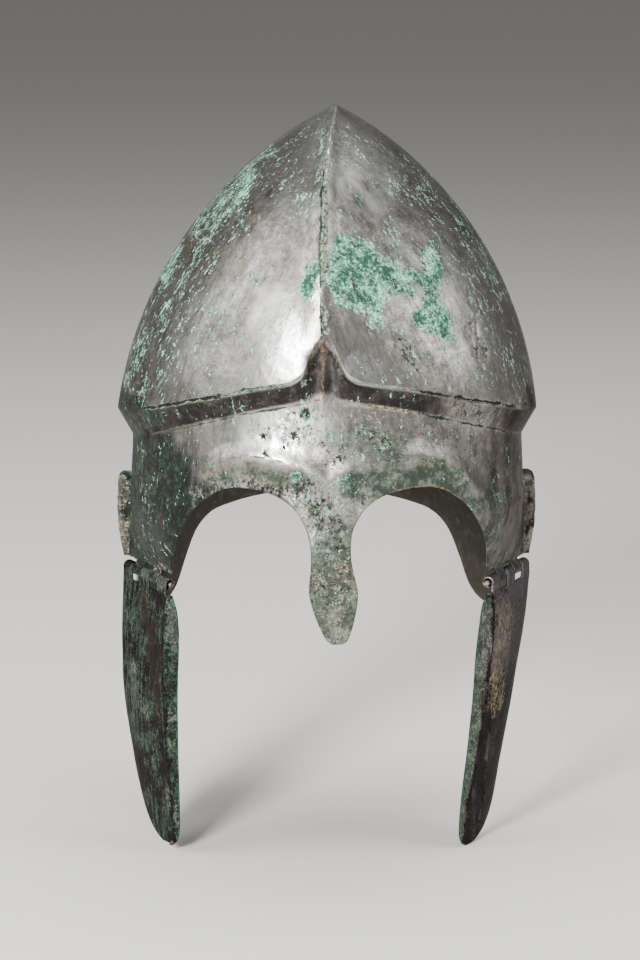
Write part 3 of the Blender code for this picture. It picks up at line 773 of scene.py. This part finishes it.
# What lies on the metal, lowest first. Noise of `grain` mm breaks each coat up. It stays `bias` under the
# level where the coat shows, and a field of 1 lifts it by `gain`. Spots are `long` times as long as wide.
COAT = "field grain long gain bias soft light middle dark metallic roughness height"
SKULL_COATS = table(
    COAT,
    # The shade coat is partly dark tarnish and partly painted shade.
    ("shade", 9, 1.8, 0.95, 0.44, 0.4, "#4a4644", "#3c3836", "#2c292a", 0.9, 0.42, 0),
    ("brass", 5, 2.4, 0.45, 0.3, 0.16, "#8a7f63", "#6f6753", "#544e43", 1, 0.38, 0),
    ("film", 5, 1.3, 0.8, 0.4, 0.3, "#6b7366", "#4f584e", "#343c36", 0.55, 0.5, 0),
    ("green", 3, 3.5, 0.55, 0.3, 0.11, "#27362c", "#161f1a", "#0c0f0d", 0.1, 0.6, 0.03),
    ("crust", 2, 2, 0.42, 0.168, 0.015, "#93c3ab", "#50836e", "#243f35", 0, 0.75, 0.22),
    ("earth", 1.6, 1.2, 0.42, 0.3, 0.06, "#86816f", "#5f5b4f", "#3a3932", 0.1, 0.8, 0.12),
    ("cuprite", 2.4, 2.5, 0.42, 0.32, 0.05, "#4f392e", "#33241f", "#1e1715", 0.3, 0.6, 0.02),
    ("ochre", 1.5, 1.2, 0.42, 0.32, 0.03, "#a3764c", "#714e32", "#3e2c20", 0.05, 0.8, 0.06),
    ("pit", 1.8, 1, 0.42, 0.3, 0.04, "#454a40", "#2b2f2a", "#141613", 0.2, 0.7, -0.25),
)
SHEEN_STRENGTH = 0.3


def weathered_bronze(name, silver, brown, highlight_colour, sheen, dull, coats, seams):
    """Hammered tin bronze, cleaned of its crust by rubbing: grey-brown metal with what corrosion is left.

    The eye gets soft broken highlights, some of them painted in a lighter colour, streaks along the
    hammering, mint flecks, dull green crusts, and painted shading in the dark coat.
    """
    material, tree, shader = new_material(name)
    cloud, ramp, combine, blend = node_makers(tree)
    coords = add(tree, "TexCoord", {}).outputs["Object"]
    place = add(tree, "VectorMath", {0: coords, "Scale": 1000}, operation="SCALE").outputs[0]
    flow = add(tree, "Attribute", {}, attribute_name="flow").outputs["Vector"]
    streaky = add(tree, "Mapping", {"Vector": flow, "Scale": (1, 1, 0.16)}).outputs[0]

    def grain(size, detail=3, rough=0.55, vector=place):
        """Noise with features of this size in mm."""
        return cloud(vector, 1 / size, detail, rough)

    def times(a, b, plus=0):
        """The product of two values, plus a third."""
        return combine("MULTIPLY_ADD", a, b, plus)

    def painted(name):
        """A value that is kept on the vertices."""
        return add(tree, "Attribute", {}, attribute_name=name).outputs["Fac"]

    def level(factor, a, b):
        """A mix of two numbers."""
        return add(tree, "Mix", {0: factor, 2: a, 3: b}).outputs[0]

    # The bare metal: cloudy at 26 mm, mottled at 5 mm, streaked along the hammering, brushed at half a mm.
    clouds = ramp(grain(26, 3), 0.35, 0.65)
    mottle = ramp(grain(5, 5, 0.65), 0.36, 0.64)
    streaks = ramp(grain(2.6, 4, 0.6, streaky), 0.36, 0.66)
    brushed = grain(0.6, 3, 0.6, streaky)
    painted_highlight = painted("painted_highlight")
    grainy = ramp(grain(1.1, 4, 0.75), 0.38, 0.62)
    worn = times(clouds, 0.36)
    worn = times(mottle, 0.38, worn)
    worn = times(streaks, 0.22, worn)
    worn = times(grainy, 0.36, combine("ADD", worn, -0.1))
    colour = blend(worn, silver, brown)
    # Painted highlights: where the painted highlight field lies, the metal takes the lighter highlight colour
    # and is a little smoother.
    highlight_mask = ramp(times(grain(9), 0.5, painted_highlight), 0.45, 1)
    colour = blend(highlight_mask, colour, highlight_colour)
    roughness = ramp(worn, 0.1, 1, 0.31 + dull, 0.42 + dull)
    roughness = combine("ADD", roughness, ramp(brushed, 0.3, 0.7, -0.05, 0.05))
    roughness = times(highlight_mask, -0.04, roughness)
    metallic = 1
    height = times(brushed, 0.02)
    height = times(grain(1.2, 4, 0.6), 0.06, height)
    height = times(grain(11, 2), 0.5, height)

    # Pinholes half a millimetre across, which the cleaning opened.
    pinholes = ramp(times(grain(12, 1), 0.15, grain(1, 2, 0.6)), 0.755, 0.785)
    colour = blend(pinholes, colour, "#2e2a26")
    height = times(pinholes, -0.1, height)

    clusters = grain(15, 2, 0.6)
    patchy = grain(7, 3, 0.6)
    for coat in coats:
        field = painted(coat.field)
        rough = times(grain(coat.grain * 0.5, 3, 0.7), 0.4, -0.2)
        along = add(tree, "Mapping", {"Vector": flow, "Scale": (1, 1, 1 / coat.long)}).outputs[0]
        rough = combine("ADD", rough, grain(coat.grain, 5, 0.72, along))
        lifted = times(field, coat.gain, rough)
        lifted = times(clusters, 0.4, combine("ADD", lifted, -0.2 - coat.bias))
        cover = ramp(lifted, 0.5 - coat.soft, 0.5 + coat.soft)
        fine = grain(coat.grain * 0.5, 4, 0.75)
        depth = times(grain(coat.grain * 0.8, 5, 0.75), 0.8, times(patchy, 0.45))
        depth = times(field, -0.1, combine("ADD", depth, -0.14))
        tint = blend(ramp(depth, 0.34, 0.48), coat.dark, coat.middle)
        tint = blend(ramp(times(fine, 0.8, depth), 0.83, 0.97), tint, coat.light)
        colour = blend(cover, colour, tint)
        metallic = level(cover, metallic, coat.metallic)
        roughness = level(cover, roughness, coat.roughness)
        if coat.height:
            lumps = times(combine("ADD", fine, 0.3), coat.height)
            height = times(cover, lumps, height)

    # The seams: a wandering line of crust, or a crack, kept sharp by its distance from the helmet's own line.
    across = add(tree, "SeparateXYZ", {"Vector": place}).outputs["X"]
    gaps = times(grain(6, 2), 3.6, -1.8)
    sway = times(grain(14, 2), 2, -1)
    for seam in seams:
        away = painted(seam.line)
        reach = 3.2 * min(seam.half, 1)
        wander = times(grain(2.6, 4, 0.65), reach, -reach / 2 - seam.away)
        wander = times(sway, 1.6 * seam.half, wander)
        from_middle = combine("ABSOLUTE", combine("ADD", away, wander))
        fill = times(grain(1.1, 4, 0.7), -2.4 * seam.half, 2.1 * seam.half)
        fill = times(gaps, -1.3 * seam.half, fill)
        cover = ramp(combine("SUBTRACT", fill, from_middle), -0.12, 0.18)
        ends = times(ramp(across, seam.start, seam.start + 5), ramp(across, seam.end, seam.end - 5))
        cover = times(cover, ends)
        tint = blend(ramp(grain(1.7, 5, 0.75), 0.42, 0.58), seam.dark, seam.light)
        colour = blend(cover, colour, tint)
        metallic = level(cover, metallic, 0)
        roughness = level(cover, roughness, seam.rough)
        height = times(cover, seam.height, height)

    bump = add(tree, "Bump", {"Height": height, "Distance": MM, "Strength": 1}).outputs[0]
    surface = {"Base Color": colour, "Metallic": metallic, "Roughness": roughness, "Normal": bump}
    feed(tree, shader, surface | {"Specular Tint": linear(sheen), "Specular IOR Level": SHEEN_STRENGTH})
    return material


def positions(bm):
    """The vertices' places as an array, in millimetres."""
    return np.array([vert.co for vert in bm.verts])


def push_out(bm, distances):
    """Moves each vertex along its normal by its own distance."""
    bm.normal_update()
    for vert, distance in zip(bm.verts, distances):
        vert.co += vert.normal * distance


# Patches that came up behind, where no stroke reaches, each kind below some height.
PATCHES = table(
    "kind size spread amount seed below",
    ("crust", 16, 0.33, 0.85, 11, ANYWHERE), ("crust", 40, 0.5, 0.16, 13, ANYWHERE),
    ("cuprite", 20, 0.32, 0.6, 12, ANYWHERE), ("earth", 12, 0.36, 0.5, 14, ANYWHERE),
    ("shade", 55, 0.5, 0.45, 15, ANYWHERE), ("green", 34, 0.46, 0.45, 16, -12),
    ("pit", 24, 0.42, 0.44, 17, ANYWHERE),
)
FLOW_RADIUS = 104
FLOW_TWIST = 0.45
# The stretch of the ledge on the left where its painted shade is lighter.
LIT_MIDDLE, LIT_HALF, LIT_FADE = 66, 22, 12
bm = bmesh.new()
add_net(bm, COLUMNS, CROWN_ROWS, crown_net_point)
add_net(bm, COLUMNS, LEDGE_ROWS, ledge_point)
add_net(bm, COLUMNS, BAND_ROWS, band_point)
add_net(bm, ROOT_COLUMNS, NASAL_ROWS, nasal_point)
add_net(bm, TEMPLE_COLUMNS, TEMPLE_ROWS, temple_point)
add_net(bm, NECK_COLUMNS, NECK_ROWS, neck_point)
add_net(bm, TEMPLE_ROWS + NOTCH_COLUMNS + NOTCH_REAR_ROWS, FLANGE_ROWS, flange_point)
add_loop(bm, 1, TEMPLE_COLUMNS // KNUCKLES, SKULL_LOOP, upward=False)
add_loop(bm, 3, TEMPLE_COLUMNS // KNUCKLES, SKULL_LOOP, upward=False)
bmesh.ops.mirror(bm, geom=bm.verts[:] + bm.edges[:] + bm.faces[:], axis="X", merge_dist=WELD)
join_nets(bm, Vector((0, 0, 1)))
distances = [line_distances(vert.co) for vert in bm.verts]
under_ledge = np.array([on_ledge(vert.co) for vert in bm.verts])
raised = [vert.normal * brow_height(vert.co) for vert in bm.verts]
for vert, raise_by in zip(bm.verts, raised):
    vert.co = settle(vert.co + raise_by)

points = positions(bm)
fields = marked(points, SKULL_MARKS)
behind = np.clip(points[:, 1] / BEHIND_FADE, 0, 1)
for patch in PATCHES:
    strength = grown(points, patch.size, patch.spread, patch.amount, patch.seed)
    lay(fields, patch.kind, behind * (points[:, 2] < patch.below) * strength)
fields["crust"] = fields["crust"] * (1 - 0.5 * under_ledge)
# The ledge faces down, so the shade coat is laid along it as painted shade, lighter over a stretch on the
# left.
lit = np.clip((LIT_HALF - np.abs(points[:, 0] - LIT_MIDDLE)) / LIT_FADE, 0, 1)
lay(fields, "shade", under_ledge * (0.9 - 0.55 * lit))
fields.update(zip(LINES, np.array(distances).T))
fields["hem"] = hem_distances(bm)
plan = np.arctan2(points[:, 0], -points[:, 1])
from_peak = np.linalg.norm(points - (0, 0, CROWN_RISE), axis=1)
around = FLOW_RADIUS * np.sqrt(np.linalg.norm(points[:, :2], axis=1) / FLOW_RADIUS)
over = np.array([from_carination > -0.5 for from_carination, *_ in distances])
twist = FLOW_TWIST * over * from_peak / FLOW_RADIUS
turned = plan - twist * np.sign(points[:, 0])
flow = np.stack([around * np.sin(turned), -around * np.cos(turned), from_peak], axis=1)
keep_fields(bm, fields, flow)
push_out(bm, relief(points, fields))

polished_bronze = weathered_bronze(
    "polished_bronze", "#b0ada9", "#6b6660", "#c2c0bc", "#b4b2b0", 0, SKULL_COATS, SKULL_SEAMS
)

# The inside of the sheet, where nobody polished: brown-black cuprite with dull green bloom.
inside_bronze, tree, shader = new_material("unrubbed_bronze")
cloud, ramp, _, blend = node_makers(tree)
coords = add(tree, "TexCoord", {}).outputs["Object"]
bloom = cloud(coords, 220, 4)
colour = blend(ramp(cloud(coords, 60, 5), 0.35, 0.68, curve="LINEAR"), "#2a2420", "#3c332b")
colour = blend(ramp(bloom, 0.55, 0.7, curve="LINEAR"), colour, "#3f4a3f")
bump = add(tree, "Bump", {"Height": bloom, "Distance": 0.0004, "Strength": 0.6}).outputs[0]
feed(tree, shader, {"Base Color": colour, "Metallic": 0.3, "Roughness": 0.7, "Normal": bump})

skull = new_piece(bm, "helmet_skull", (polished_bronze, inside_bronze))
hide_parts("skull")
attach(skull, "helmet")


# ------------------------------------------------------------
# The cheekpieces: crescents of the same sheet, with a lip turned in along the front and three knuckles rolled
# from the top edge. They were cleaned less than the skull and are streaked with green; they are darker partly
# for that and partly from painted shade for the dimmer light low on the helmet. The left one is bent inward
# and a little longer.

CHEEK_LOOP = 3.05
CHEEK = table(
    "down crease crease_out past past_out bulge lip",
    (5, 0, 0, 0, 0, 0, 3.4), (12, -1, 0.9, 1, -0.2, 1, 6),
    (22, -1.8, 1.8, 3, -0.6, 2, 7.4), (34, -2.4, 2.4, 5, -1.1, 3, 7.6),
    (46.5, -3, 2.6, 5.6, -1.4, 4, 7), (59, -3.6, 2.5, 5, -1.3, 4.6, 6.4),
    (71.5, -4.2, 2.1, 2.4, -1.3, 4.8, 5.8), (84, -5, 1.5, -2, -1.3, 4.6, 5),
    (95.5, -5.6, 0.8, -6.6, -1.4, 4, 4.3), (105.5, -6, 0.2, -11.2, -1.4, 3.2, 3.8),
    (114.2, -6, -0.4, -16.5, -1.3, 2.5, 3.4), (122, -5.6, -0.9, -23, -1, 1.8, 3),
    (127.8, -4.8, -1.2, -30.5, -0.8, 1, 2.5), (131.3, -3, -1.3, -38.5, -0.8, 0.4, 1.7),
    (132.4, -1, -1.3, -43.5, -0.9, 0.1, 0.9),
)
LIP_BEND = math.radians(55)
LEFT_BEND = table(
    "down front rear",
    (5, 0, 0), (20, 0.5, 1.8), (40, 3, 4.8), (60, 5, 8.1), (80, 7, 10.3),
    (100, 9.1, 10.9), (118, 10.5, 10.4), (136, 11.5, 9.5),
)
LEFT_LENGTH = 1.025
CHEEK_COLUMNS = 50
LIP_COLUMNS = 8
CHEEK_ROWS = 120


def cheek_point(column, row):
    """The cheekpiece: a front lip bent inward from a crease, then a bulging sheet back to its rear edge."""
    along, outward = hinge_frame()
    rest = 1 - row / CHEEK_ROWS
    down = CHEEK[0].down + (CHEEK[-1].down - CHEEK[0].down) * (1 - rest**1.2)
    crease = read(CHEEK, "crease", down)
    crease_out = read(CHEEK, "crease_out", down)
    part = max(column - LIP_COLUMNS, 0) / CHEEK_COLUMNS
    rear = (HINGE_BACK - HINGE_FRONT).length + read(CHEEK, "past", down)
    spot = HINGE_FRONT + along * (crease + part * (rear - crease))
    out = crease_out + part * (read(CHEEK, "past_out", down) - crease_out)
    out += read(CHEEK, "bulge", down) * 4 * part * (1 - part)
    spot += outward * (CHEEK_LOOP + out)
    lip = read(CHEEK, "lip", down) * (1 - min(column / LIP_COLUMNS, 1))
    spot -= lip * (math.sin(LIP_BEND) * outward + math.cos(LIP_BEND) * along)
    return spot + Vector((0, 0, HINGE_LEVEL - down))


def bend_left(point):
    """A point of the left cheekpiece, moved by its old bend."""
    along, outward = hinge_frame()
    down = HINGE_LEVEL - point.z
    if down < CHEEK[0].down:
        return point
    part = (point - HINGE_FRONT).dot(along) / (HINGE_BACK - HINGE_FRONT).length
    front = read(LEFT_BEND, "front", down)
    inward = front + min(max(part, 0), 1) * (read(LEFT_BEND, "rear", down) - front)
    longer = (down - CHEEK[0].down) * (LEFT_LENGTH - 1)
    return point - inward * outward - Vector((0, 0, longer))


# The coats are darker than the skull's, partly as painted shade for the dim light low on the helmet.
CHEEK_COATS = table(
    COAT,
    ("shade", 6, 3, 0.6, 0.34, 0.2, "#2d2a2a", "#232121", "#191718", 0.7, 0.5, 0),
    ("green", 2.6, 6, 0.55, 0.3, 0.08, "#34493a", "#1e2922", "#101412", 0.1, 0.6, 0.04),
    ("crust", 1.4, 3, 0.42, 0.23, 0.04, "#66796c", "#31433a", "#171f1b", 0, 0.8, 0.1),
    ("earth", 1.5, 1.5, 0.42, 0.3, 0.07, "#5b6056", "#42473f", "#2d312c", 0.1, 0.8, 0.1),
    ("cuprite", 2, 5, 0.42, 0.32, 0.07, "#31231d", "#231a16", "#161110", 0.3, 0.65, 0.02),
    ("ochre", 0.9, 2.5, 0.42, 0.26, 0.03, "#8f8468", "#6b5e46", "#41372a", 0.05, 0.8, 0.05),
    ("pit", 1.4, 1.5, 0.42, 0.3, 0.04, "#242321", "#1a1918", "#100f0f", 0.2, 0.7, -0.25),
)
CHEEK_SEAMS = table(
    SEAM,
    ("crease", -200, 200, -0.7, 0.7, "#1e1512", "#0b0908", 0.8, -0.3),
    ("hem", -200, 200, 0.2, 0.45, "#394f46", "#1d2a25", 0.85, 0.12),
)
RIGHT_LIP = {"earth": 0.52, "green": 0.85, "crust": 0.1}
LEFT_LIP = {"earth": 0.86, "green": 0.7, "crust": 0.06}
RIGHT_MARKS = strokes(
    ("green", (-97, -90, -92, -160, 12, 58), (-86, -96, -84, -190, 7, 50), (-84, -196, -78, -216, 8, 60)),
    # Painted shade, darker towards the cheekpiece's bottom.
    ("shade", (-90, -160, -84, -215, 14, 85)),
    ("crust", (-99, -104, -97, -140, 3, 36), (-76, -94, -75, -108, 3, 40)),
    ("earth", (-78, -96, -76, -112, 4, 95), (-80, -186, -76, -204, 3, 80), (-90, -79, -74, -85, 4.5, 95)),
    ("cuprite", (-88, -104, -86, -136, 4, 90), (-92, -92, -90, -108, 4, 70),
        (-85, -140, -82, -190, 3, 60)),
    ("ochre", (-95, -128, -90, -158, 8, 26), (-92, -158, -84, -196, 8, 16)),
    ("pit", (-78, -212, -74, -220, 4, 80), (-96, -90, -84, -200, 14, 20)),
)
LEFT_MARKS = strokes(
    ("cuprite", (81, -100, 76, -150, 2.2, 85)),
    ("pit", (78, -150, 74, -205, 2.6, 90), (80, -86, 94, -98, 6, 50), (86, -90, 78, -200, 14, 16)),
    ("ochre", (87, -98, 82, -146, 6, 52)),
    # Painted shade, darker towards the cheekpiece's bottom.
    ("shade", (86, -140, 76, -215, 14, 80)),
    ("crust", (90, -110, 84, -150, 8, 8)),
    ("earth", (80, -196, 74, -212, 6, 40), (74, -78, 79, -87, 3, 80)),
)


def ahead_of_crease(point):
    """How far a point of the unbent cheekpiece lies ahead of its crease, on the lip."""
    down = HINGE_LEVEL - point.z
    if down < CHEEK[0].down + 1:
        return -9
    return read(CHEEK, "crease", down) - (point - HINGE_FRONT).dot(hinge_frame()[0])


def make_cheekpiece(name, node, body, side, marks, lip_marks, materials):
    """A cheekpiece with its three rolled knuckles, on its own body."""
    bm = bmesh.new()
    add_net(bm, LIP_COLUMNS + CHEEK_COLUMNS, CHEEK_ROWS, cheek_point)
    for knuckle in (0, 2, 4):
        add_loop(bm, knuckle, CHEEK_COLUMNS // KNUCKLES, CHEEK_LOOP, upward=True)
    join_nets(bm, hinge_frame()[1])
    ahead = np.array([ahead_of_crease(vert.co) for vert in bm.verts])
    if side > 0:
        for vert in bm.verts:
            vert.co = bend_left(vert.co)
    else:
        bmesh.ops.scale(bm, verts=bm.verts, vec=(-1, 1, 1))
        bmesh.ops.reverse_faces(bm, faces=bm.faces)
    points = positions(bm)
    fields = marked(points, marks)
    lay(fields, "cuprite", grown(points, 12, 0.36, 0.5, 25 + side))
    for kind, amount in lip_marks.items():
        lay(fields, kind, amount * np.clip(ahead / 0.6 + 0.6, 0, 1))
    fields["crease"] = ahead
    fields["hem"] = np.where(ahead > -1, hem_distances(bm), HEM_REACH)
    keep_fields(bm, fields, points)
    push_out(bm, relief(points, fields))
    piece = new_piece(bm, name, materials)
    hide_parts(node)
    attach(piece, body)
    return piece


# The cheekpieces' metal is partly its own dark tone and partly painted shade for the dim light low on the
# helmet; the right one, which faces the key lamp, is painted darkest.
dark_bronze = weathered_bronze(
    "dark_bronze", "#7b7678", "#5c585a", "#8a8587", "#5c5a58", 0.12, CHEEK_COATS, CHEEK_SEAMS
)
patinated_bronze = weathered_bronze(
    "patinated_bronze", "#3a3936", "#292826", "#4a4945", "#403f3d", 0.16, CHEEK_COATS, CHEEK_SEAMS
)
make_cheekpiece(
    "left_cheekpiece", "cheekpiece_left", "left_cheek", 1, LEFT_MARKS, LEFT_LIP,
    (dark_bronze, inside_bronze),
)
make_cheekpiece(
    "right_cheekpiece", "cheekpiece_right", "right_cheek", -1, RIGHT_MARKS, RIGHT_LIP,
    (patinated_bronze, inside_bronze),
)


# ------------------------------------------------------------
# The hinge pins: lengths of copper wire about 2 mm thick, hammered over at both ends. They keep the shape
# that the frame gives them, and get the dull pink-brown of copper that is handled but never polished.

wire, tree, shader = new_material("copper_wire")
cloud, ramp, _, blend = node_makers(tree)
worn = cloud(add(tree, "TexCoord", {}).outputs["Object"], 500, 4)
tint = blend(ramp(worn, 0.4, 0.65, curve="LINEAR"), "#86736a", "#4f3a32")
dulled = ramp(worn, 0, 1, 0.35, 0.65, "LINEAR")
bump = add(tree, "Bump", {"Height": worn, "Distance": 0.0002, "Strength": 0.6}).outputs[0]
feed(tree, shader, {"Base Color": tint, "Metallic": 1, "Roughness": dulled, "Normal": bump})
for node in ("hinge_pin_left", "hinge_pin_right"):
    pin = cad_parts[node]
    pin.data.materials.clear()
    pin.data.materials.append(wire)


# ------------------------------------------------------------
# The studio: a pale floor just under the cheekpieces' tips, broad soft lamps, and a long lens from a little
# above the brow, a touch to the wearer's right.

FLOOR_LEVEL = min(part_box("cheekpiece_left")[0].z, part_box("cheekpiece_right")[0].z) - 0.0005
bm = bmesh.new()
bmesh.ops.create_grid(bm, x_segments=1, y_segments=1, size=40.0)
bmesh.ops.translate(bm, verts=bm.verts, vec=(0, 0, FLOOR_LEVEL))
paper, tree, shader = new_material("floor_paper")
feed(tree, shader, {"Base Color": linear("#cfccc6"), "Roughness": 0.9})
floor = new_object("floor", new_mesh(bm, "floor", [paper]))

LAMPS = table(
    "name place aim size watts",
    ("key", (-0.75, -1.6, 0.42), (0, 0, -0.06), 0.42, 95),
    ("right_side", (-1.9, -0.3, 0.9), (0, 0, -0.06), 1.4, 36),
    ("left_side", (1.8, -0.5, 0.9), (0, 0, -0.06), 1.4, 32),
    ("top", (0.1, 0.2, 1.5), (0, 0, 0), 1.2, 26),
)
for lamp in LAMPS:
    light = bpy.data.lights.new(lamp.name, "AREA")
    light.shape = "SQUARE"
    light.size = lamp.size
    light.energy = lamp.watts
    holder = new_object(lamp.name, light)
    holder.location = lamp.place
    facing = Vector(lamp.aim) - Vector(lamp.place)
    holder.rotation_euler = facing.to_track_quat("-Z", "Y").to_euler()

world = bpy.data.worlds.new("studio")
world.use_nodes = True
tree = world.node_tree
direction = add(tree, "TexCoord", {}).outputs["Generated"]
forward = add(tree, "SeparateXYZ", {"Vector": direction}).outputs["Y"]
_, ramp, _, blend = node_makers(tree)
glow = blend(ramp(forward, 0.6, -0.8), "#b4b4b8", "#bab9b6")
feed(tree, tree.nodes["Background"], {"Color": glow, "Strength": 0.5})
bpy.context.scene.world = world

lens = bpy.data.cameras.new("camera")
lens.lens = 120
lens.sensor_width = 36
lens.clip_start = 0.05
lens.clip_end = 200
camera = new_object("camera", lens)
camera.location = (-0.0448, -1.5771, 0.1197)
camera.rotation_euler = (math.radians(79), 0, math.radians(-1.5))
bpy.context.scene.camera = camera
